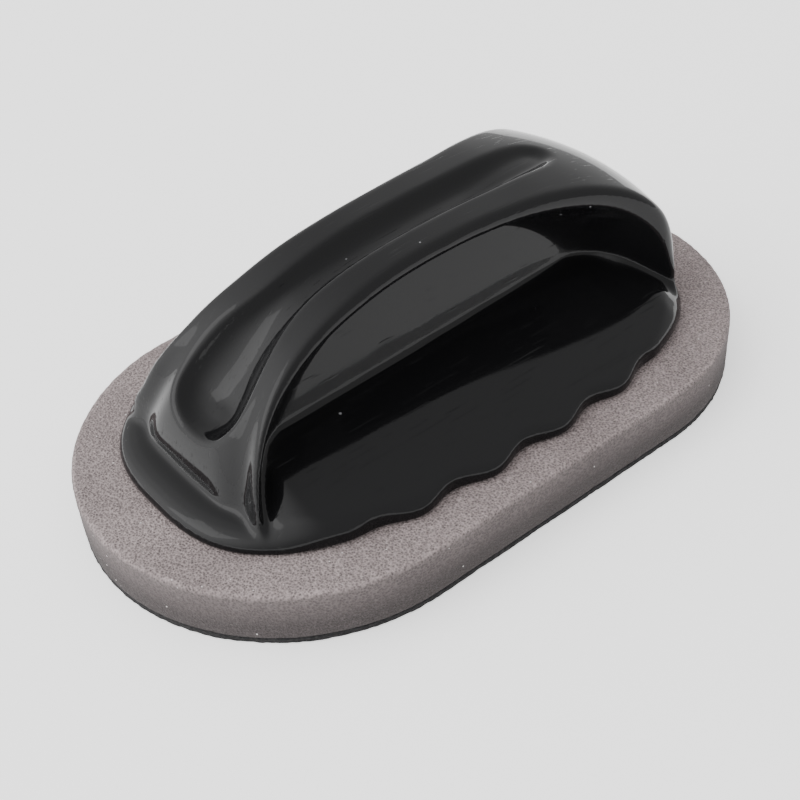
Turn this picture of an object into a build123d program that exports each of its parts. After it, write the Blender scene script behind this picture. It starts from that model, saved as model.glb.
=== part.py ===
from build123d import *
import math
import os

# Hand-held board eraser: a moulded hollow grip on a flat stadium-shaped foam pad.
# Millimetres, +Z up, long axis along X, origin at the middle of the pad's underside.

pad_length = 140.0
pad_width = 82.0
felt_height = 1.3
foam_height = 9.9
film_height = 0.4
plate_height = 1.2

base_half_length = 59.3
base_half_width = 33.9
base_power = 2.85
lip_height = 3.0
lip_edge_radius = 0.8
scallop_depth = 1.0
scallop_period = 16.2
scallop_crest_x = -10.2
scallop_centre_x = -2.1
scallop_reach = 38.0

rim_wall = 2.4
plate_clearance = 0.2
wall = 2.2

web_half_width = 5.2
deck_crest_height = 21.0
deck_crest_half_width = 6.0
deck_edge_half_width = 31.5
deck_edge_inset = 1.5
deck_edge_x = (-52.0, 54.0)
deck_crest_x = (-43.0, 45.0)
deck_wall = 2.4
recess_corner_radius = 2.5
groove_radius = 5.6
groove_depth = 2.4
scoop_long_radius = 14.5
scoop_cross_radius = 8.6
scoop_centre = (-41.5, 36.5)
scoop_slope = 50.0
scoop_cut_overlap = 1.1
ridge_edge_radius = 2.0
mouth_distance = 19.0
mouth_run_out = 25.0
foot_inset = 3.2

core_drop = 8.5
foot_core_centres = (-45.0, 49.0)
foot_core_length = 7.0
foot_core_corner_radius = 2.8
foot_core_width = 15.0
foot_core_height = 10.0
foot_core_draft = 8.0

foam_bottom = felt_height
foam_top = foam_bottom + foam_height
film_top = foam_top + film_height
plate_top = film_top + plate_height
deck_top = foam_top + lip_height

# Height of the grip's two ridges above the bench, as (x, z), from the rear foot to the front foot.
arch_points = [
    (-51.4, 12.6),
    (-49.8, 21.0),
    (-46.2, 28.2),
    (-40.2, 33.8),
    (-32.2, 38.4),
    (-22.0, 42.0),
    (-10.0, 44.1),
    (3.0, 44.9),
    (15.0, 45.0),
    (25.0, 44.8),
    (34.0, 43.5),
    (42.0, 40.6),
    (48.0, 36.0),
    (52.6, 29.4),
    (55.0, 22.0),
    (56.0, 12.6),
]
groove_span = slice(2, 11)

# Half of the grip's plan outline, as (x, y): a straight waist that flares to a foot at each end.
waist_points = [
    (-53.4, 27.0),
    (-49.6, 21.0),
    (-45.0, 16.6),
    (-38.0, 13.8),
    (-28.0, 12.2),
    (0.0, 11.8),
    (24.0, 13.6),
    (38.0, 17.0),
    (46.5, 20.4),
    (51.0, 22.6),
    (57.0, 27.0),
]

# The finger recess on each side, as (x, z): its wide mouth and its smaller inner wall.
mouth_points = [(-50.4, deck_top), (-44.4, 26.0), (-32.0, 35.4), (-16.0, 40.2), (2.0, 41.8)]
mouth_points += [(20.0, 41.0), (34.0, 37.6), (45.0, 27.6), (50.8, deck_top)]
inner_points = [(-36.4, deck_top), (-34.0, 24.6), (-27.0, 31.6), (-14.0, 36.9), (2.0, 38.6)]
inner_points += [(16.0, 37.8), (27.0, 34.2), (36.0, 26.4), (39.4, deck_top)]


def base_half_width_at(x):
    """Half width of the plain oval base at x."""
    share = min(abs(x) / base_half_length, 1.0)
    return base_half_width * (1.0 - share**base_power) ** (1.0 / base_power)


def scallop_at(x):
    """Sideways wave of the base's edge at x, fading out towards both ends."""
    fade = max(0.0, 1.0 - (abs(x - scallop_centre_x) / scallop_reach) ** 6)
    return scallop_depth * fade * math.cos(2.0 * math.pi * (x - scallop_crest_x) / scallop_period)


def base_outline(inset, wave, steps=96):
    """Closed outline of the base, moved in by inset, with or without its scallops."""
    points = []
    for step in range(steps):
        angle = 2.0 * math.pi * step / steps
        x = base_half_length * math.copysign(abs(math.cos(angle)) ** (2.0 / base_power), math.cos(angle))
        y = math.copysign(base_half_width_at(x), math.sin(angle))
        y += math.copysign(wave * scallop_at(x), y)
        points.append((x * (1.0 - inset / base_half_length), y * (1.0 - inset / base_half_width)))
    return points


def outline_face(inset, wave):
    """Sketch of the closed base outline."""
    with BuildSketch() as outline:
        with BuildLine():
            Spline(*base_outline(inset, wave), periodic=True)
        make_face()
    return outline.sketch


def arch_face(points):
    """Sketch of a D shape: a curved upper edge over a straight floor."""
    with BuildSketch() as d_shape:
        with BuildLine():
            Spline(*points)
            Line(points[-1], points[0])
        make_face()
    return d_shape.sketch


def recess_tool():
    """The finger recess on the -Y side: it narrows from its wide mouth to the web."""
    with BuildPart() as tool:
        with BuildSketch(Plane.XZ.offset(web_half_width)):
            add(arch_face(inner_points))
        with BuildSketch(Plane.XZ.offset(mouth_distance)):
            add(arch_face(mouth_points))
        loft()
        fillet(tool.faces().sort_by(Axis.Y)[-1].edges(), radius=recess_corner_radius)
        with BuildSketch(Plane.XZ.offset(mouth_distance)):
            add(arch_face(mouth_points))
        extrude(amount=mouth_run_out)
    return tool.part


def scoop_tool():
    """Thumb scoop: half an ellipse spun about its long axis, which lies along the arch's slope."""
    along = (math.cos(math.radians(scoop_slope)), 0.0, math.sin(math.radians(scoop_slope)))
    centre = (scoop_centre[0], 0.0, scoop_centre[1])
    with BuildPart() as tool:
        with BuildSketch(Plane(centre, x_dir=along, z_dir=(0, -1, 0))):
            Ellipse(scoop_long_radius, scoop_cross_radius)
            Rectangle(
                2.0 * scoop_cut_overlap * scoop_long_radius,
                scoop_cut_overlap * scoop_cross_radius,
                align=(Align.CENTER, Align.MAX),
                mode=Mode.SUBTRACT,
            )
        revolve(axis=Axis(centre, along))
    return tool.part


def hipped_deck(lowered):
    """Deck that rises from the lip to the web and is hipped at both ends, moved down by lowered."""
    edge_z = deck_top - lowered
    crest_z = deck_crest_height - lowered
    with BuildPart() as deck:
        with BuildSketch(Plane.YZ.offset(deck_edge_x[0])):
            with BuildLine():
                Polyline(
                    (-deck_edge_half_width, edge_z),
                    (-deck_crest_half_width, crest_z),
                    (deck_crest_half_width, crest_z),
                    (deck_edge_half_width, edge_z),
                    close=True,
                )
            make_face()
        extrude(amount=deck_edge_x[1] - deck_edge_x[0])
        with BuildSketch(Plane.XZ.offset(-pad_width / 2)):
            with BuildLine():
                Polyline(
                    (deck_edge_x[0], edge_z),
                    (deck_crest_x[0], crest_z),
                    (deck_crest_x[1], crest_z),
                    (deck_edge_x[1], edge_z),
                    close=True,
                )
            make_face()
        extrude(amount=pad_width, mode=Mode.INTERSECT)
        with BuildSketch(Plane.XY.offset(edge_z)):
            add(outline_face(deck_edge_inset + lowered, 0.0))
        extrude(amount=pad_width, mode=Mode.INTERSECT)
    return deck.part


def write(part, label):
    part.label = label
    export_step(part, f"parts/{label}.step")


os.makedirs("parts", exist_ok=True)

# ---- wiping felt: the thin dark layer that touches the board ----
with BuildPart() as wiping_felt:
    with BuildSketch():
        SlotOverall(pad_length, pad_width)
    extrude(amount=felt_height)
write(wiping_felt.part, "wiping_felt")

# ---- foam pad ----
with BuildPart() as foam_pad:
    with BuildSketch(Plane.XY.offset(foam_bottom)):
        SlotOverall(pad_length, pad_width)
    extrude(amount=foam_height)
    fillet(foam_pad.faces().sort_by(Axis.Z)[-1].edges(), radius=1.0)
write(foam_pad.part, "foam_pad")

# ---- adhesive film between the foam and the base plate ----
with BuildPart() as adhesive_film:
    with BuildSketch(Plane.XY.offset(foam_top)):
        add(outline_face(rim_wall + plate_clearance, 0.0))
    extrude(amount=film_height)
write(adhesive_film.part, "adhesive_film")

# ---- base plate that closes the hollow grip ----
with BuildPart() as base_plate:
    with BuildSketch(Plane.XY.offset(film_top)):
        add(outline_face(rim_wall + plate_clearance, 0.0))
    extrude(amount=plate_height)
write(base_plate.part, "base_plate")

# ---- grip: arched handle on a scalloped base, one hollow moulding ----
with BuildPart() as arch:
    with BuildSketch(Plane.XZ.offset(-pad_width / 2)):
        add(arch_face(arch_points))
    extrude(amount=pad_width)
    with BuildSketch():
        with BuildLine():
            Spline(*waist_points)
            Line(waist_points[-1], (waist_points[-1][0], 0.0))
            Line((waist_points[-1][0], 0.0), (waist_points[0][0], 0.0))
            Line((waist_points[0][0], 0.0), waist_points[0])
        make_face()
        mirror(about=Plane.XZ)
    extrude(amount=pad_width, mode=Mode.INTERSECT)
    ridge_edges = arch.edges().filter_by(lambda edge: edge.center().Z > deck_top and edge.length > pad_width)
    fillet(ridge_edges, radius=ridge_edge_radius)

with BuildPart() as groove:
    with BuildLine():
        groove_rise = groove_radius - groove_depth
        groove_line = Spline(*[(x, 0.0, z + groove_rise) for x, z in arch_points[groove_span]])
    with BuildSketch(Plane(origin=groove_line @ 0, z_dir=groove_line % 0)):
        Circle(groove_radius)
    sweep()

with BuildPart() as base:
    with BuildSketch(Plane.XY.offset(foam_top)):
        add(outline_face(0.0, 1.0))
    extrude(amount=lip_height)
    fillet(base.faces().sort_by(Axis.Z)[-1].edges(), radius=lip_edge_radius)

with BuildPart() as hollow:
    with BuildSketch(Plane.XY.offset(foam_top)):
        add(outline_face(rim_wall, 0.0))
    extrude(amount=film_height + plate_height)
    add(hipped_deck(deck_wall))
    with BuildSketch(Plane.XZ.offset(wall - web_half_width)):
        add(arch_face([(x, z - core_drop) for x, z in arch_points[2:-2]]))
    extrude(amount=2.0 * (web_half_width - wall))
    for centre_x in foot_core_centres:
        with BuildSketch(Plane.XY.offset(plate_top)):
            with Locations((centre_x, 0.0)):
                RectangleRounded(foot_core_length, foot_core_width, foot_core_corner_radius)
        extrude(amount=foot_core_height, taper=foot_core_draft)

with BuildPart() as grip_shell:
    with BuildSketch(Plane.XY.offset(foam_top)):
        add(outline_face(foot_inset, 0.0))
    extrude(amount=pad_width)
    add(arch.part, mode=Mode.INTERSECT)
    add(groove.part, mode=Mode.SUBTRACT)
    add(scoop_tool(), mode=Mode.SUBTRACT)
    recess = recess_tool()
    add(recess, mode=Mode.SUBTRACT)
    add(recess.mirror(Plane.XZ), mode=Mode.SUBTRACT)
    add(base.part)
    add(hipped_deck(0.0))
    add(hollow.part, mode=Mode.SUBTRACT)
write(grip_shell.part, "grip_shell")
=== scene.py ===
import math

import bmesh
import bpy
import numpy as np
from mathutils import Matrix, Vector


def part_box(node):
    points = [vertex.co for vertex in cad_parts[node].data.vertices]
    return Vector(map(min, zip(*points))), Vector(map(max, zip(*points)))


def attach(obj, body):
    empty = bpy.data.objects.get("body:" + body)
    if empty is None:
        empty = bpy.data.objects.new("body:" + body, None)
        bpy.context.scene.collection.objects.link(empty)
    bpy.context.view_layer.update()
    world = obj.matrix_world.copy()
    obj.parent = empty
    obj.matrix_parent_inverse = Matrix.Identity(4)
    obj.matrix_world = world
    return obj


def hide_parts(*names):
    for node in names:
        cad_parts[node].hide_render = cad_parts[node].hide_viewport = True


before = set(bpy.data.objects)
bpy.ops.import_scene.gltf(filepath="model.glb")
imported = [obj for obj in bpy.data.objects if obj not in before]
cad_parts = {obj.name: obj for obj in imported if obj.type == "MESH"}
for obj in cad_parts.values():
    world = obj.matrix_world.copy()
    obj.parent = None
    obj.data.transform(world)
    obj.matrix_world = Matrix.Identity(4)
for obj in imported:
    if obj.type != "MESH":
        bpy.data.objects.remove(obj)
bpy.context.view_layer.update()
MM = 0.001

# ---------------------------------------------------------------- sizes in millimetres
shell_low, shell_high = (np.array(corner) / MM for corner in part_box("grip_shell"))
foam_low, foam_high = (np.array(corner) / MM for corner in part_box("foam_pad"))
felt_low, felt_high = (np.array(corner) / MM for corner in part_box("wiping_felt"))
plate_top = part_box("base_plate")[1][2] / MM

GRID_STEP = 0.42
GRID_MARGIN = 1.5
BLUR_PASSES = 2

# Oval base of the grip, with finger scallops along its two sides.
BASE_Z = shell_low[2]
BASE_HALF_LENGTH = shell_high[0]
FRONT_REACH = 57.8
BASE_HALF_WIDTH = 33.9
BASE_POWER = 2.85
OUTLINE_STEPS = 720
SCALLOP_DEPTH = 1.0
SCALLOP_PERIOD = 16.2
SCALLOP_CREST_X = -10.2
SCALLOP_CENTRE_X = -2.1
SCALLOP_REACH = 38.0
SCALLOP_FADE_POWER = 6
RIM_WALL = 2.4

# Deck beside the grip, and the round shoulder that takes its place at both ends.
LIP_HEIGHT = 2.9
LIP_SLOPE = 0.265
LIP_RAMP = 0.9
LIP_EDGE_RADIUS = 0.8
SHOULDER_X = (42.0, 51.0)
SHOULDER_WIDTH = 6.4
SHOULDER_EDGE_HEIGHT = 0.9
SHOULDER_RISE = 2.9
SHOULDER_EXTRA_RADIUS = 0.4

# Ridge line of the grip seen from the side, (x, z), from the rear foot to the front foot.
RIDGE = [
    (-53.6, 9.0), (-52.7, 14.0), (-50.3, 21.0), (-46.2, 28.2), (-40.2, 33.8), (-32.2, 38.4), (-22.0, 42.0),
    (-10.0, 44.1), (3.0, 44.9), (15.0, 45.0), (25.0, 44.8), (34.0, 43.5), (42.0, 40.6), (48.0, 36.0),
    (52.6, 29.4), (55.0, 22.0), (55.8, 14.0), (56.0, 9.0),
]
# Half width of the grip at its rim, (x, y).
WIDTH = [
    (-60.0, 26.0), (-54.0, 23.4), (-52.0, 22.2), (-50.0, 20.8), (-48.0, 19.0), (-44.0, 16.2), (-40.0, 14.4),
    (-36.0, 13.4), (-32.0, 12.7), (-28.0, 12.2), (-22.0, 11.9), (-10.0, 11.6), (0.0, 11.8), (8.0, 12.2),
    (16.0, 13.0), (24.0, 14.4), (32.0, 16.2), (38.0, 17.8), (43.0, 19.4), (47.0, 20.8), (50.0, 22.0),
    (54.0, 23.6), (60.0, 26.0),
]
RIM_RADIUS = 1.7
CROWN_CURVE = 0.003
FOOT_X = (36.0, 50.0)
FOOT_FLARE = 6.5
FOOT_TOP = 23.0
FOOT_RUN = 9.0
FOOT_MAX_RUN = 1.1
FOOT_SETBACK = 1.2
FOOT_DRAFT = 0.1
FOOT_DRAFT_Z = 14.0
FOOT_EDGE_RADIUS = 2.2

# Shallow flute on each side of the rear foot's flat face, placed along the ridge line.
FLUTE_DEPTH = 1.3
FLUTE_FADE = (20.0, 38.0)
FLUTE_Y = 16.6
FLUTE_START = 5.0
FLUTE_TAPER = 0.30
FLUTE_SPREAD = 3.4

# Drop of the rims at the front end, which makes a soft nose.
NOSE_X = (4.0, 44.0)
NOSE_DROP = 0.9
NOSE_HALF_WIDTH = 13.0

# Groove, with the scoop at its rear end, (distance along the ridge line, half width).
GROOVE = [
    (14.2, 0.0), (14.6, 3.4), (16.4, 6.6), (20.0, 8.8), (24.0, 9.1), (28.0, 8.5), (33.0, 7.2), (38.0, 5.6),
    (43.0, 4.4), (49.0, 3.9), (60.0, 3.8), (80.0, 4.1), (92.0, 4.5), (99.0, 4.8), (103.0, 4.2), (105.4, 2.4),
    (106.2, 0.0),
]
GROOVE_DEPTH = 3.1
GROOVE_RADIUS = 3.0
GROOVE_EDGE_RADIUS = 1.0
GROOVE_RUN_OUT = (84.0, 106.0)
GROOVE_RUN_OUT_RISE = 1.9
SCOOP_END = (26.0, 46.0)
SCOOP_EXTRA_DEPTH = 3.3
SCOOP_EXTRA_RADIUS = 5.6
TABLE_STEP = 0.25

# Finger recess seen from the side, (x, z): its mouth at the rim and the smaller outline at the web.
MOUTH = [
    (-51.0, 8.0), (-50.4, 14.0), (-48.2, 21.0), (-44.4, 26.8), (-40.0, 31.0), (-36.0, 33.6), (-32.0, 35.7),
    (-24.0, 38.6), (-16.0, 40.5), (-8.0, 41.5), (2.0, 42.1), (12.0, 42.0), (20.0, 41.4), (28.0, 40.0),
    (34.0, 38.0), (38.5, 35.4), (42.3, 32.0), (45.4, 28.0), (48.0, 23.0), (50.0, 18.0), (50.8, 14.0),
    (51.2, 8.0),
]
INNER = [
    (-36.0, 8.0), (-36.0, 19.0), (-34.0, 25.0), (-27.0, 32.0), (-14.0, 37.8), (2.0, 39.6), (16.0, 38.6),
    (27.0, 34.6), (35.0, 28.0), (38.6, 21.0), (39.4, 8.0),
]
MOUTH_RADIUS = 0.6
MOUTH_OVERRUN = 1.2
WEB_Y = 5.0
WEB_DRAFT = 0.2
FOLD_HEIGHT = 21.0
FOLD_HALF_WIDTH = 6.4
FOLD_TAPER = 0.03
FOLD_X = 15.0
RECESS_BELOW_DECK = 2.0
CORNER_RADIUS = 2.5
FRONT_CORNER_X = (10.0, 34.0)
FRONT_CORNER_EXTRA = 1.8

# Cove between the deck and the grip, larger at the two ends of the finger recess.
COVE_RADIUS = 0.5
COVE_GROWS = (38.0, 46.0)
COVE_SHRINKS = (49.0, 52.0)
REAR_COVE_EXTRA = 1.6
FRONT_COVE_EXTRA = 2.6

# Layers of the pad: mesh spacing, and an unevenness made of fine and broader waves.
LAYER_SPACING = 0.55
EDGE_STEPS = 6
BROAD_CELL = 7.0
BROAD_SHARE = 0.6
SLIT_SHARE = 0.001
FOAM_EDGE_RADIUS = 1.1


# ---------------------------------------------------------------- shape tools
def smooth_line(points, steps=10):
    """Catmull-Rom curve through the points."""
    p = np.array([points[0]] + list(points) + [points[-1]], float)
    t = np.linspace(0.0, 1.0, steps, endpoint=False)[:, None]
    spans = []
    for a, b, c, d in zip(p[:-3], p[1:-2], p[2:-1], p[3:]):
        square = (2 * a - 5 * b + 4 * c - d) * t**2
        cube = (3 * b - a - 3 * c + d) * t**3
        spans.append(0.5 * (2 * b + (c - a) * t + square + cube))
    return np.vstack(spans + [p[-1:]])


def mirrored(half):
    """Closed outline from its upper half, as a smooth line."""
    line = smooth_line(half, 8)
    other = line[::-1].copy()
    other[:, 1] *= -1
    return np.vstack([line, other[1:-1]])


def nearest_on_span(u, v, start, end):
    """Share of the span at its place nearest to each grid point (u, v), and that distance squared."""
    (ax, ay), (bx, by) = start, end
    ex, ey = bx - ax, by - ay
    length2 = max(ex * ex + ey * ey, 1e-12)
    share = np.clip(((u - ax) * ex + (v - ay) * ey) / length2, 0.0, 1.0)
    return share, (u - ax - share * ex) ** 2 + (v - ay - share * ey) ** 2


def outline_distance(u, v, outline):
    """Signed distance of grid points (u, v) to a closed outline, negative inside."""
    nearest = np.full(u.shape, np.inf)
    inside = np.zeros(u.shape, bool)
    for start, end in zip(outline, np.roll(outline, -1, axis=0)):
        nearest = np.minimum(nearest, nearest_on_span(u, v, start, end)[1])
        (ax, ay), (bx, by) = start, end
        if ay != by:
            inside ^= ((ay > v) != (by > v)) & (u < ax + (v - ay) * (bx - ax) / (by - ay))
    return np.where(inside, -1.0, 1.0) * np.sqrt(nearest)


def along_line(u, v, line):
    """Distance along an open line of the place nearest to each grid point (u, v)."""
    lengths = np.hypot(*np.diff(line, axis=0).T)
    run = np.r_[0.0, np.cumsum(lengths)]
    nearest = np.full(u.shape, np.inf)
    along = np.zeros(u.shape)
    for start, end, passed, length in zip(line[:-1], line[1:], run[:-1], lengths):
        share, away = nearest_on_span(u, v, start, end)
        closer = away < nearest
        nearest = np.where(closer, away, nearest)
        along = np.where(closer, passed + share * length, along)
    return along


def step_up(value, low, high):
    """Smooth step from 0 at low to 1 at high."""
    t = np.clip((value - low) / (high - low), 0.0, 1.0)
    return t * t * (3.0 - 2.0 * t)


def both(a, b, radius):
    """Intersection of two solids with a rounded edge."""
    corner = np.sqrt(np.maximum(a + radius, 0.0) ** 2 + np.maximum(b + radius, 0.0) ** 2) - radius
    return np.where((a > -radius) & (b > -radius), corner, np.maximum(a, b))


def cut(a, b, radius):
    """Solid a without solid b, with a rounded edge."""
    return both(a, -b, radius)


def join(a, b, radius):
    """Union of two solids with a filleted corner."""
    return -both(-a, -b, radius)


def blur(field, passes):
    """Small binomial blur along each axis."""
    for _ in range(passes):
        for axis in range(3):
            last = field.shape[axis] - 1
            back = np.take(field, np.r_[0, 0:last], axis=axis)
            ahead = np.take(field, np.r_[1 : last + 1, last], axis=axis)
            field = 0.5 * field + 0.25 * (back + ahead)
    return field


def corner_weights(part):
    """Each corner of a unit cell, with its trilinear weight at the places given within the cell."""
    for corner in np.ndindex(2, 2, 2):
        yield corner, np.prod(np.abs(1 - np.array(corner) - part), axis=1)


def sample(field, at):
    """Trilinear value of a grid field at fractional grid places."""
    base = np.clip(np.floor(at).astype(int), 0, np.array(field.shape) - 2)
    total = 0.0
    for corner, weight in corner_weights(at - base):
        total = total + weight * field[tuple((base + corner).T)]
    return total


def look_up(table, row, column):
    """Bilinear value of a 2-D table at fractional rows and columns."""
    row, column = np.broadcast_arrays(row, column)
    r = np.clip(np.floor(row).astype(int), 0, table.shape[0] - 2)
    c = np.clip(np.floor(column).astype(int), 0, table.shape[1] - 2)
    a, b = row - r, column - c
    near = table[r, c] * (1.0 - b) + table[r, c + 1] * b
    far = table[r + 1, c] * (1.0 - b) + table[r + 1, c + 1] * b
    return near * (1.0 - a) + far * a


def neighbours(grid, axis):
    """The grid without its last and without its first layer along an axis."""
    lower = [slice(None)] * 3
    upper = [slice(None)] * 3
    lower[axis] = slice(0, -1)
    upper[axis] = slice(1, None)
    return grid[tuple(lower)], grid[tuple(upper)]


def cell_places(field):
    """Mean place of the surface in every cell that it crosses, and which cells those are."""
    cells = np.array(field.shape) - 1
    total = np.zeros(tuple(cells) + (3,))
    count = np.zeros(tuple(cells))
    for axis in range(3):
        f0, f1 = neighbours(field, axis)
        crosses = (f0 < 0) != (f1 < 0)
        where = np.argwhere(crosses)
        place = where.astype(float)
        place[:, axis] += f0[crosses] / (f0[crosses] - f1[crosses])
        first, second = [k for k in range(3) if k != axis]
        for step_first in (0, -1):
            for step_second in (0, -1):
                cell = where.copy()
                cell[:, first] += step_first
                cell[:, second] += step_second
                good = np.all((cell >= 0) & (cell < cells), axis=1)
                index = tuple(cell[good].T)
                np.add.at(total, index, place[good])
                np.add.at(count, index, 1)
    used = count > 0
    return total[used] / count[used][:, None], used


def settle(field, places, rounds=3, longest=0.5):
    """Places moved along the field's slope until they lie on its zero level."""
    gradient = np.stack(np.gradient(field), axis=-1)
    for _ in range(rounds):
        slope = np.stack([sample(gradient[..., k], places) for k in range(3)], axis=1)
        steepness2 = np.maximum((slope**2).sum(1), 1e-6)
        places = places - np.clip(sample(field, places) / steepness2, -longest, longest)[:, None] * slope
    return places


def surface_mesh(field, origin, step):
    """Vertices and quads of the zero level of a grid field."""
    places, used = cell_places(field)
    number = np.full(used.shape, -1)
    number[used] = np.arange(used.sum())
    cells = used.shape
    quads = []
    for axis in range(3):
        lower, upper = neighbours(field < 0, axis)
        j, k = (axis + 1) % 3, (axis + 2) % 3
        for mask, order in ((lower & ~upper, (0, 1, 2, 3)), (~lower & upper, (3, 2, 1, 0))):
            where = np.argwhere(mask)
            good = (where[:, j] > 0) & (where[:, k] > 0) & (where[:, j] < cells[j]) & (where[:, k] < cells[k])
            where = where[good]
            ring = []
            for step_j, step_k in ((-1, -1), (0, -1), (0, 0), (-1, 0)):
                cell = where.copy()
                cell[:, j] += step_j
                cell[:, k] += step_k
                ring.append(number[tuple(cell.T)])
            quads.append(np.stack([ring[i] for i in order], axis=1))
    return origin + settle(field, places) * step, np.vstack(quads)


def new_mesh(name, points_mm, quads):
    """Smooth-shaded Blender object from points in millimetres."""
    mesh = bpy.data.meshes.new(name)
    mesh.vertices.add(len(points_mm))
    mesh.vertices.foreach_set("co", (points_mm * MM).astype(np.float32).ravel())
    mesh.loops.add(quads.size)
    mesh.loops.foreach_set("vertex_index", quads.astype(np.int32).ravel())
    mesh.polygons.add(len(quads))
    mesh.polygons.foreach_set("loop_start", np.arange(0, quads.size, quads.shape[1], dtype=np.int32))
    mesh.update()
    mesh.validate()
    mesh.polygons.foreach_set("use_smooth", np.ones(len(mesh.polygons), bool))
    obj = bpy.data.objects.new(name, mesh)
    bpy.context.scene.collection.objects.link(obj)
    return obj


# ---------------------------------------------------------------- the grip
def base_distance(x, y, wave, front_reach=FRONT_REACH):
    """Signed distance to the oval base, seen from above, with scallops of the given depth."""
    angle = np.linspace(0.0, 2.0 * math.pi, OUTLINE_STEPS, endpoint=False)
    c, s = np.cos(angle), np.sin(angle)
    reach = np.where(c > 0, front_reach, BASE_HALF_LENGTH)
    ox = reach * np.sign(c) * np.abs(c) ** (2.0 / BASE_POWER)
    oy = BASE_HALF_WIDTH * np.sign(s) * np.abs(s) ** (2.0 / BASE_POWER)
    fade = np.clip(1.0 - (np.abs(ox - SCALLOP_CENTRE_X) / SCALLOP_REACH) ** SCALLOP_FADE_POWER, 0.0, 1.0)
    oy = oy + wave * np.sign(s) * fade * np.cos(2.0 * math.pi * (ox - SCALLOP_CREST_X) / SCALLOP_PERIOD)
    return outline_distance(x, y, np.stack([ox, oy], axis=1))


def base_top(oval, gx, gy):
    """Height of the base's upper side, and how far the round shoulder has replaced the deck."""
    end = step_up(np.abs(gx), *SHOULDER_X)
    inset = np.maximum(-oval, 0.0)
    deck = LIP_HEIGHT + LIP_SLOPE * np.maximum(BASE_HALF_WIDTH - gy, 0.0)
    deck = np.minimum(deck, LIP_HEIGHT + LIP_RAMP * inset)
    across = np.clip(inset / SHOULDER_WIDTH, 0.0, 1.0)
    shoulder = SHOULDER_EDGE_HEIGHT + SHOULDER_RISE * np.sqrt(1.0 - (1.0 - across) ** 2)
    return BASE_Z + deck * (1.0 - end) + shoulder * end, end


def groove_field(along, gy, crown):
    """Groove along the crown, with the thumb scoop at its rear end."""
    table_s = np.arange(0.0, along.max() + 1.0, TABLE_STEP)
    table_y = np.arange(0.0, gy.max() + 1.0, TABLE_STEP)
    table = outline_distance(*np.meshgrid(table_s, table_y, indexing="ij"), mirrored(GROOVE))
    outline = look_up(table, along / TABLE_STEP, gy / TABLE_STEP)
    scoop = 1.0 - step_up(along, *SCOOP_END)
    depth = GROOVE_DEPTH + SCOOP_EXTRA_DEPTH * scoop - GROOVE_RUN_OUT_RISE * step_up(along, *GROOVE_RUN_OUT)
    return both(outline, -(crown + depth), GROOVE_RADIUS + SCOOP_EXTRA_RADIUS * scoop)


def recess_field(mouth, inner, half, top, gx, gy, gz):
    """Finger recess on each side: it narrows from its mouth to the web and ends below the deck."""
    fold = FOLD_HALF_WIDTH - FOLD_TAPER * (gx - FOLD_X)
    web = (fold + WEB_DRAFT * (FOLD_HEIGHT - gz) - gy) / math.hypot(1.0, WEB_DRAFT)
    floor = (top - RECESS_BELOW_DECK - gz) / math.hypot(1.0, LIP_SLOPE)
    spread = np.clip((gy - WEB_Y) / (half - WEB_Y), 0.0, MOUTH_OVERRUN)
    ends = inner * (1.0 - spread) + mouth * spread
    corner_radius = CORNER_RADIUS + FRONT_CORNER_EXTRA * step_up(gx, *FRONT_CORNER_X)
    return both(np.maximum(web, floor), ends, corner_radius)


def bar_field(oval, top, x, z, gx, gy, gz):
    """Arched bar: flat crown between two rims, swept-back feet, groove, scoop and finger recesses."""
    side_x, side_z = np.meshgrid(x, z, indexing="ij")
    ridge = smooth_line(RIDGE)
    arch_side = outline_distance(side_x, side_z, ridge)
    lean = np.abs(np.gradient(arch_side, x, axis=0))[:, None, :]
    along = along_line(side_x, side_z, ridge)[:, None, :]
    mouth = outline_distance(side_x, side_z, smooth_line(MOUTH))[:, None, :]
    inner = outline_distance(side_x, side_z, smooth_line(INNER))[:, None, :]

    width_line = smooth_line(WIDTH, 8)
    half = np.interp(x, width_line[:, 0], width_line[:, 1])[:, None, None]
    flare = np.gradient(half[:, 0, 0], x)[:, None, None]
    foot_run = np.clip((FOOT_TOP - gz) / FOOT_RUN, 0.0, FOOT_MAX_RUN)
    foot = step_up(np.abs(gx), *FOOT_X) * FOOT_FLARE * foot_run**2
    side = (gy - half - foot) / np.sqrt(1.0 + flare**2)

    crown = arch_side[:, None, :] + CROWN_CURVE * gy**2 * lean
    flute_y = FLUTE_Y - FLUTE_TAPER * (along - FLUTE_START)
    flute_fade = 1.0 - step_up(along, *FLUTE_FADE)
    flute = FLUTE_DEPTH * flute_fade * np.exp(-(((gy - flute_y) / FLUTE_SPREAD) ** 2))
    nose = NOSE_DROP * step_up(gx, *NOSE_X) * (gy / NOSE_HALF_WIDTH) ** 2
    bar = both(side, crown + flute + nose, RIM_RADIUS)
    bar = both(bar, oval + FOOT_SETBACK + FOOT_DRAFT * (gz - FOOT_DRAFT_Z), FOOT_EDGE_RADIUS)
    bar = cut(bar, groove_field(along, gy, crown), GROOVE_EDGE_RADIUS)
    return cut(bar, recess_field(mouth, inner, half, top, gx, gy, gz), MOUTH_RADIUS)


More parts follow.
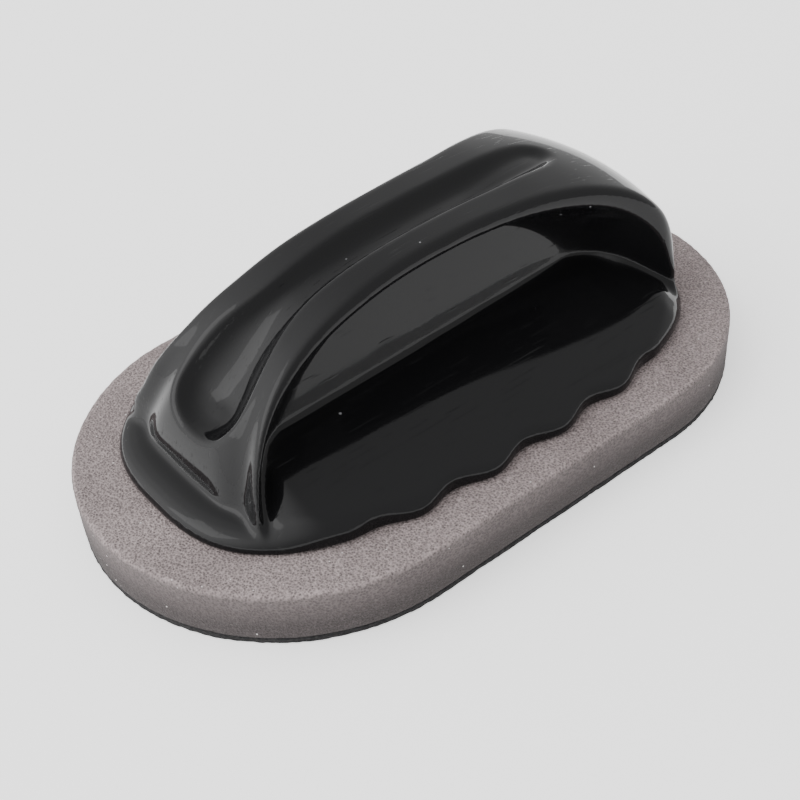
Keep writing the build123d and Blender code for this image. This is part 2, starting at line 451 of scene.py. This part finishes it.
def grip_field(x, y, z):
    """Signed field of the grip on a grid; x, y, z are 1-D grid lines."""
    plan_x, plan_y = np.meshgrid(x, y, indexing="ij")
    base = base_distance(plan_x, plan_y, SCALLOP_DEPTH)[:, :, None]
    oval = base_distance(plan_x, plan_y, 0.0)[:, :, None]
    gx, gy, gz = x[:, None, None], np.abs(y)[None, :, None], z[None, None, :]

    top, end = base_top(oval, gx, gy)
    edge_radius = LIP_EDGE_RADIUS + SHOULDER_EXTRA_RADIUS * end
    slab = both(base, (gz - top) / math.hypot(1.0, LIP_SLOPE), edge_radius)
    bar = bar_field(oval, top, x, z, gx, gy, gz)
    cove_share = step_up(np.abs(gx), *COVE_GROWS) * (1.0 - step_up(np.abs(gx), *COVE_SHRINKS))
    cove = COVE_RADIUS + np.where(gx > 0, FRONT_COVE_EXTRA, REAR_COVE_EXTRA) * cove_share
    whole = join(slab, bar, cove)

    # Pocket for the base plate, and the flat underside.
    plate_oval = base_distance(plan_x, plan_y, 0.0, BASE_HALF_LENGTH)[:, :, None]
    pocket = np.maximum(plate_oval + RIM_WALL, gz - plate_top)
    return np.maximum(np.maximum(whole, -pocket), BASE_Z - gz)


def build_grip():
    """The grip's mesh, from its field on a regular grid."""
    low = shell_low - GRID_MARGIN
    counts = np.ceil((shell_high + GRID_MARGIN - low) / GRID_STEP).astype(int) + 1
    lines = [low[k] + GRID_STEP * np.arange(counts[k]) for k in range(3)]
    points, quads = surface_mesh(blur(grip_field(*lines), BLUR_PASSES), low, GRID_STEP)
    return new_mesh("grip_moulding", points, quads)


# ---------------------------------------------------------------- the pad's layers
def value_noise(points, cell, seed):
    """Smooth random value from -1 to 1 at each point, on a hashed grid of the given cell size."""
    prime_x, prime_y, prime_z, prime_mix = 73856093, 19349663, 83492791, 1274126177
    at = points / cell
    base = np.floor(at).astype(np.int64)
    part = at - base
    total = np.zeros(len(points))
    for corner, weight in corner_weights(part * part * (3.0 - 2.0 * part)):
        place = base + corner
        mixed = place[:, 0] * prime_x ^ place[:, 1] * prime_y ^ place[:, 2] * prime_z ^ seed
        mixed = (mixed ^ (mixed >> 13)) * prime_mix
        total += weight * (((mixed ^ (mixed >> 16)) & 0xFFFF) / 32767.5 - 1.0)
    return total


def stadium_run(straight, radius, spacing):
    """Evenly spaced places around a stadium: each one's arc centre x and its outward direction."""
    arc = math.pi * radius
    around = int((4.0 * straight + 2.0 * arc) / spacing)
    centre_x, turn = np.zeros(around), np.zeros(around)
    for k, run in enumerate(np.arange(around) / around * (4.0 * straight + 2.0 * arc)):
        if run < 2 * straight:
            centre_x[k], turn[k] = straight - run, 0.5 * math.pi
        elif run < 2 * straight + arc:
            centre_x[k], turn[k] = -straight, 0.5 * math.pi + (run - 2 * straight) / radius
        elif run < 4 * straight + arc:
            centre_x[k], turn[k] = run - 3 * straight - arc, 1.5 * math.pi
        else:
            centre_x[k], turn[k] = straight, 1.5 * math.pi + (run - 4 * straight - arc) / radius
    return centre_x, np.cos(turn), np.sin(turn)


def layer_profile(low_z, high_z, radius, edge, spacing):
    """Side, rounded edge and top of a layer as (reach, z, outward, upward), from the bottom inwards."""
    side_steps = max(2, int((high_z - low_z - edge) / spacing))
    cap_steps = int((radius - edge) / spacing)
    side_height = high_z - edge - low_z
    profile = [(radius, low_z + side_height * k / side_steps, 1.0, 0.0) for k in range(side_steps + 1)]
    if edge > 0:
        for k in range(1, EDGE_STEPS + 1):
            angle = 0.5 * math.pi * k / EDGE_STEPS
            c, s = math.cos(angle), math.sin(angle)
            profile.append((radius - edge + edge * c, high_z - edge + edge * s, c, s))
    for k in range(1, cap_steps + 1):
        profile.append(((radius - edge) * (1.0 - k / cap_steps * (1.0 - SLIT_SHARE)), high_z, 0.0, 1.0))
    return profile


def stadium_layer(name, low, high, edge, roughness, cell, seed):
    """Stadium-shaped layer with a fine uneven surface; a hair-thin slit stays in the middle of its top."""
    radius = high[1]
    centre_x, turn_x, turn_y = stadium_run(high[0] - radius, radius, LAYER_SPACING)
    around = len(centre_x)
    profile = layer_profile(low[2], high[2], radius, edge, LAYER_SPACING)
    rings, outward = [], []
    for reach, z, out, up in profile:
        rings.append(np.stack([centre_x + reach * turn_x, reach * turn_y, np.full(around, z)], axis=1))
        outward.append(np.stack([out * turn_x, out * turn_y, np.full(around, up)], axis=1))
    points, outward = np.vstack(rings), np.vstack(outward)
    uneven = value_noise(points, cell, seed) + BROAD_SHARE * value_noise(points, cell * BROAD_CELL, seed + 5)
    points = points + outward * (roughness * (uneven - 1.0 - BROAD_SHARE))[:, None]
    here = np.arange(around)
    ahead = np.roll(here, -1)
    band = np.stack([here, ahead, ahead + around, here + around], axis=1)
    quads = np.vstack([band + k * around for k in range(len(profile) - 1)])
    layer = new_mesh(name, points, quads)
    close_underside(layer, around)
    return layer


def close_underside(obj, around):
    """One flat face over the first ring of the layer."""
    shape = bmesh.new()
    shape.from_mesh(obj.data)
    shape.verts.ensure_lookup_table()
    shape.faces.new([shape.verts[k] for k in range(around)][::-1])
    bmesh.ops.recalc_face_normals(shape, faces=shape.faces)
    shape.to_mesh(obj.data)
    shape.free()


# ---------------------------------------------------------------- materials
class Recipe:
    """Short calls that add linked nodes to one node tree."""

    def __init__(self, tree):
        self.nodes = tree.nodes
        self.links = tree.links

    def feed(self, socket, value):
        """Links another node's output to a socket, or sets the socket's own value."""
        if isinstance(value, bpy.types.NodeSocket):
            self.links.new(value, socket)
        else:
            socket.default_value = value

    def place(self):
        return self.nodes.new("ShaderNodeTexCoord").outputs["Object"]

    def stretched(self, source, scale, angle=0.0):
        """Place scaled, and turned about Z by an angle in degrees."""
        mapping = self.nodes.new("ShaderNodeMapping")
        mapping.inputs["Scale"].default_value = scale
        mapping.inputs["Rotation"].default_value = (0.0, 0.0, math.radians(angle))
        self.links.new(source, mapping.inputs["Vector"])
        return mapping.outputs["Vector"]

    def noise(self, source, scale, detail=3.0, roughness=0.5):
        node = self.nodes.new("ShaderNodeTexNoise")
        node.inputs["Scale"].default_value = scale
        node.inputs["Detail"].default_value = detail
        node.inputs["Roughness"].default_value = roughness
        self.links.new(source, node.inputs["Vector"])
        return node.outputs["Fac"]

    def remap(self, value, low, high, out_low=0.0, out_high=1.0):
        """Value moved from one range to another, and kept inside it."""
        node = self.nodes.new("ShaderNodeMapRange")
        node.inputs["From Min"].default_value = low
        node.inputs["From Max"].default_value = high
        node.inputs["To Min"].default_value = out_low
        node.inputs["To Max"].default_value = out_high
        self.links.new(value, node.inputs["Value"])
        return node.outputs["Result"]

    def maths(self, operation, first, second):
        node = self.nodes.new("ShaderNodeMath")
        node.operation = operation
        self.feed(node.inputs[0], first)
        self.feed(node.inputs[1], second)
        return node.outputs[0]

    def plus(self, value, extra, share):
        """A value with a share of another one added."""
        return self.maths("ADD", value, self.maths("MULTIPLY", extra, share))

    def mix(self, factor, first, second):
        """Colour between two others, each an (r, g, b) or a socket."""
        node = self.nodes.new("ShaderNodeMix")
        node.data_type = "RGBA"
        self.links.new(factor, node.inputs["Factor"])
        for name, value in (("A", first), ("B", second)):
            socket = next(s for s in node.inputs if s.name == name and s.type == "RGBA")
            self.feed(socket, value + (1.0,) if isinstance(value, tuple) else value)
        return next(s for s in node.outputs if s.type == "RGBA")

    def specks(self, source, scale, radius, share):
        """Sparse round dots: 1 inside a dot, 0 elsewhere."""
        cells = self.nodes.new("ShaderNodeTexVoronoi")
        cells.inputs["Scale"].default_value = scale
        self.links.new(source, cells.inputs["Vector"])
        full_radius = 0.6 * radius
        dot = self.remap(cells.outputs["Distance"], radius, full_radius)
        split = self.nodes.new("ShaderNodeSeparateColor")
        self.links.new(cells.outputs["Color"], split.inputs["Color"])
        return self.maths("MULTIPLY", dot, self.maths("LESS_THAN", split.outputs[0], share))

    def split(self, vector, axis):
        """One component of a vector."""
        node = self.nodes.new("ShaderNodeSeparateXYZ")
        self.links.new(vector, node.inputs["Vector"])
        return node.outputs[axis]

    def towards(self, vector, direction):
        """How much a vector points in a fixed direction."""
        node = self.nodes.new("ShaderNodeVectorMath")
        node.operation = "DOT_PRODUCT"
        node.inputs[1].default_value = direction
        self.links.new(vector, node.inputs[0])
        return node.outputs["Value"]


class Material(Recipe):
    """A new material with a Principled shader, and the node calls that build it."""

    def __init__(self, name):
        self.material = bpy.data.materials.new(name)
        self.material.use_nodes = True
        super().__init__(self.material.node_tree)
        self.nodes.clear()
        self.shader = self.nodes.new("ShaderNodeBsdfPrincipled")
        output = self.nodes.new("ShaderNodeOutputMaterial")
        self.links.new(self.shader.outputs[0], output.inputs[0])

    def set(self, name, value):
        self.feed(self.shader.inputs[name], value)

    def bump(self, height, distance):
        node = self.nodes.new("ShaderNodeBump")
        node.inputs["Distance"].default_value = distance
        node.inputs["Strength"].default_value = 1.0
        self.links.new(height, node.inputs["Height"])
        self.set("Normal", node.outputs["Normal"])


def black_plastic():
    """Glossy black moulded plastic: soft ripples, fine scuffs and a little dust."""
    made = Material("gloss_black_plastic")
    place = made.place()
    dust = made.specks(place, scale=230.0, radius=0.07, share=0.06)
    haze = made.noise(place, scale=55.0, detail=4.0, roughness=0.6)
    scuff_place = made.stretched(place, (60.0, 2600.0, 900.0), angle=28.0)
    scuffs = made.remap(made.noise(scuff_place, scale=1.0, detail=2.0), 0.64, 0.74)
    ripple = made.noise(place, scale=24.0, detail=1.0)
    grain = made.noise(place, scale=1900.0, detail=2.0)
    made.set("Base Color", made.mix(dust, (0.0055, 0.0055, 0.006), (0.2, 0.2, 0.21)))
    rough = made.plus(made.remap(haze, 0.35, 0.75, 0.03, 0.09), scuffs, 0.2)
    made.set("Roughness", made.plus(rough, dust, 0.5))
    made.set("Specular IOR Level", 0.23)
    height = made.plus(ripple, grain, 0.006)
    height = made.plus(height, scuffs, -0.04)
    made.bump(made.plus(height, dust, 0.15), distance=0.00035)
    return made.material


def foam_material():
    """Grey-pink open foam: fine pores, clouds of two greys, painted shade darkening towards the bottom,
    darker sides that are partly cut-face tone and partly painted shade, and a few painted glints.
    """
    painted_shade_colour = (0.045, 0.038, 0.038)
    made = Material("grey_foam")
    place = made.place()
    pores = made.nodes.new("ShaderNodeTexVoronoi")
    made.feed(pores.inputs["Scale"], 2200.0)
    made.feed(pores.inputs["Vector"], place)
    pore = made.remap(pores.outputs["Distance"], 0.1, 0.8)
    grain = made.noise(place, scale=3400.0, detail=3.0, roughness=0.7)
    cloud = made.noise(place, scale=70.0, detail=3.0, roughness=0.6)
    speckle = made.remap(made.plus(made.maths("MULTIPLY", grain, 0.7), pore, 0.3), 0.26, 0.74)
    light = made.mix(speckle, (0.055, 0.044, 0.044), (0.47, 0.395, 0.39))
    dull = made.mix(speckle, (0.045, 0.036, 0.036), (0.39, 0.327, 0.323))
    blended = made.mix(made.remap(cloud, 0.35, 0.65), light, dull)

    # Painted shade: the colour darkens towards the bottom of the pad, where less light falls, and fades out
    # just below the top edge.
    height = made.remap(made.split(place, "Z"), foam_low[2] * MM, foam_high[2] * MM)
    lower = made.maths("MULTIPLY", made.remap(height, 0.93, 0.25, 0.35, 1.0),
                       made.remap(grain, 0.32, 0.55, 0.62, 1.0))
    lower = made.maths("MULTIPLY", lower, made.remap(height, 0.98, 0.88))
    shaded = made.mix(lower, blended, painted_shade_colour)
    # Painted shade on the sides: the colour darkens where the surface faces sideways, partly the darker tone
    # of the cut faces and partly shade from light falling from above.
    upright = made.split(made.nodes.new("ShaderNodeNewGeometry").outputs["Normal"], "Z")
    shaded = made.mix(made.remap(upright, 0.75, 0.15, 0.0, 0.42), shaded, (0.05, 0.043, 0.043))
    # Painted glints: sparse pale dots in the base colour stand in for highlights on the pores.
    painted_glints = made.specks(place, scale=700.0, radius=0.13, share=0.12)
    made.set("Base Color", made.mix(painted_glints, shaded, (0.7, 0.66, 0.66)))
    made.set("Roughness", made.remap(grain, 0.3, 0.7, 0.72, 0.95))
    made.set("Specular IOR Level", 0.3)
    made.bump(made.plus(made.maths("MULTIPLY", pore, grain), cloud, 0.8), distance=0.0003)
    return made.material


def felt_material():
    """Black felt with short paler fibres."""
    made = Material("black_wiping_felt")
    fibre_place = made.stretched(made.place(), (1500.0, 1500.0, 3600.0))
    fibres = made.noise(fibre_place, scale=1.0, detail=4.0, roughness=0.7)
    pale_share = made.remap(fibres, 0.4, 0.72)
    made.set("Base Color", made.mix(pale_share, (0.008, 0.008, 0.009), (0.05, 0.048, 0.048)))
    made.set("Roughness", made.remap(fibres, 0.3, 0.7, 0.8, 1.0))
    made.set("Specular IOR Level", 0.2)
    made.bump(fibres, distance=0.0004)
    return made.material


def plate_material():
    """Matt black plastic with a fine grain."""
    made = Material("matt_black_plate")
    grain = made.noise(made.place(), scale=900.0, detail=3.0, roughness=0.6)
    made.set("Base Color", made.mix(grain, (0.008, 0.008, 0.008), (0.02, 0.02, 0.02)))
    made.set("Roughness", made.remap(grain, 0.3, 0.7, 0.35, 0.5))
    made.bump(grain, distance=0.00006)
    return made.material


def film_material():
    """Blotchy amber glue film."""
    made = Material("amber_adhesive_film")
    blotch = made.noise(made.place(), scale=160.0, detail=4.0, roughness=0.6)
    made.set("Base Color", made.mix(blotch, (0.42, 0.33, 0.19), (0.58, 0.50, 0.34)))
    made.set("Roughness", made.remap(blotch, 0.3, 0.7, 0.25, 0.5))
    made.bump(blotch, distance=0.00005)
    return made.material


def give(obj, material):
    obj.data.materials.clear()
    obj.data.materials.append(material)


# ---------------------------------------------------------------- assembly
grip = build_grip()
give(grip, black_plastic())
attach(grip, "root")
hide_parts("grip_shell")

foam = stadium_layer(
    "foam_block", foam_low, foam_high, edge=FOAM_EDGE_RADIUS, roughness=0.07, cell=0.9, seed=11
)
give(foam, foam_material())
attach(foam, "root")
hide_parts("foam_pad")

felt = stadium_layer("felt_sheet", felt_low, felt_high, edge=0.0, roughness=0.1, cell=0.8, seed=23)
give(felt, felt_material())
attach(felt, "root")
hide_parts("wiping_felt")

give(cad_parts["base_plate"], plate_material())
give(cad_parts["adhesive_film"], film_material())

# ---------------------------------------------------------------- floor
FLOOR_SIZE = 6.0
FLOOR_DROP = 0.0002
bpy.ops.mesh.primitive_plane_add(size=FLOOR_SIZE, location=(0, 0, -FLOOR_DROP))
floor = bpy.context.object
floor.name = "floor"
pale = Material("pale_floor")
pale.set("Base Color", (0.93, 0.93, 0.93, 1))
pale.set("Emission Color", (1, 1, 1, 1))
pale.set("Emission Strength", 0.8)
give(floor, pale.material)

# ---------------------------------------------------------------- light: a sky with one brighter side
SKY_STRENGTH = 0.95
LOBE_TOWARDS = Vector((-0.80, 0.30, 0.50)).normalized()
LOBE_STRENGTH = 2.8
LOBE_EDGE = 0.25
world = bpy.data.worlds.new("studio")
bpy.context.scene.world = world
world.use_nodes = True
sky = Recipe(world.node_tree)
background = sky.nodes["Background"]
background.inputs["Color"].default_value = (1, 1, 1, 1)
direction = sky.nodes.new("ShaderNodeTexCoord").outputs["Generated"]
lobe = sky.maths("POWER", sky.remap(sky.towards(direction, LOBE_TOWARDS), LOBE_EDGE, 1.0), 2.0)
sky.feed(background.inputs["Strength"], sky.plus(SKY_STRENGTH, lobe, LOBE_STRENGTH))

SOFTBOX_PLACE = Vector((-1.0, 0.45, 0.9))
SOFTBOX_SIZE = 0.9
SOFTBOX_POWER = 4.0
softbox_data = bpy.data.lights.new("key_softbox", "AREA")
softbox_data.shape = "RECTANGLE"
softbox_data.size = SOFTBOX_SIZE
softbox_data.size_y = SOFTBOX_SIZE
softbox_data.energy = SOFTBOX_POWER
softbox = bpy.data.objects.new("key_softbox", softbox_data)
softbox.location = SOFTBOX_PLACE
softbox.rotation_mode = "QUATERNION"
softbox.rotation_quaternion = (-SOFTBOX_PLACE).to_track_quat("-Z", "Y")
bpy.context.scene.collection.objects.link(softbox)

# ---------------------------------------------------------------- camera at the photograph's viewing angle
CAMERA_PLACE = Vector((-121.95, -158.91, 168.40)) * MM
CAMERA_AZIMUTH = math.radians(36.47)
CAMERA_ELEVATION = math.radians(39.75)
CAMERA_ROLL = math.radians(-4.52)
ahead_level = Vector((math.sin(CAMERA_AZIMUTH), math.cos(CAMERA_AZIMUTH), 0.0))
forward = ahead_level * math.cos(CAMERA_ELEVATION) - Vector((0.0, 0.0, math.sin(CAMERA_ELEVATION)))
level = Vector((math.cos(CAMERA_AZIMUTH), -math.sin(CAMERA_AZIMUTH), 0.0))
upward = level.cross(forward)
right = level * math.cos(CAMERA_ROLL) + upward * math.sin(CAMERA_ROLL)
up = upward * math.cos(CAMERA_ROLL) - level * math.sin(CAMERA_ROLL)
camera_data = bpy.data.cameras.new("photo_camera")
camera_data.sensor_width = 36.0
camera_data.lens = 59.155
camera_data.clip_start = 0.01
camera_data.clip_end = 20.0
camera = bpy.data.objects.new("photo_camera", camera_data)
camera.matrix_world = Matrix((
    (right.x, up.x, -forward.x, CAMERA_PLACE.x),
    (right.y, up.y, -forward.y, CAMERA_PLACE.y),
    (right.z, up.z, -forward.z, CAMERA_PLACE.z),
    (0, 0, 0, 1),
))
bpy.context.scene.collection.objects.link(camera)
bpy.context.scene.camera = camera
